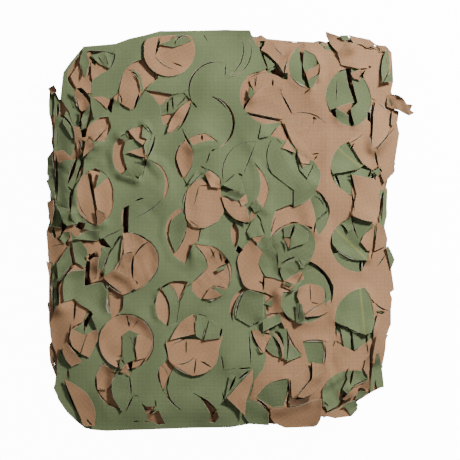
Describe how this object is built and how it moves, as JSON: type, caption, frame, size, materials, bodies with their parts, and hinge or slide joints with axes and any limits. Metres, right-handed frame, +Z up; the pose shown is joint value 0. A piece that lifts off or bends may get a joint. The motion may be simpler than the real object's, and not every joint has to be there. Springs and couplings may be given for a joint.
{
  "type": "folded camouflage net",
  "caption": "Leaf-cut camouflage net, olive green on one face and earth brown on the other, folded to and fro into a flat rounded pack.",
  "frame": {"origin": "middle of the pack's underside, on the surface that it lies on", "axes": "+Z up through the layers, +Y along the layers towards the far folds, +X along the folds"},
  "size_m": [0.3676, 0.3982, 0.1112],
  "materials": {
    "net_cloth": "matt ripstop weave, olive green on one face and light earth brown on the other"
  },
  "bodies": {
    "root": {"net_cloth": "net_cloth"}
  },
  "joints": []
}
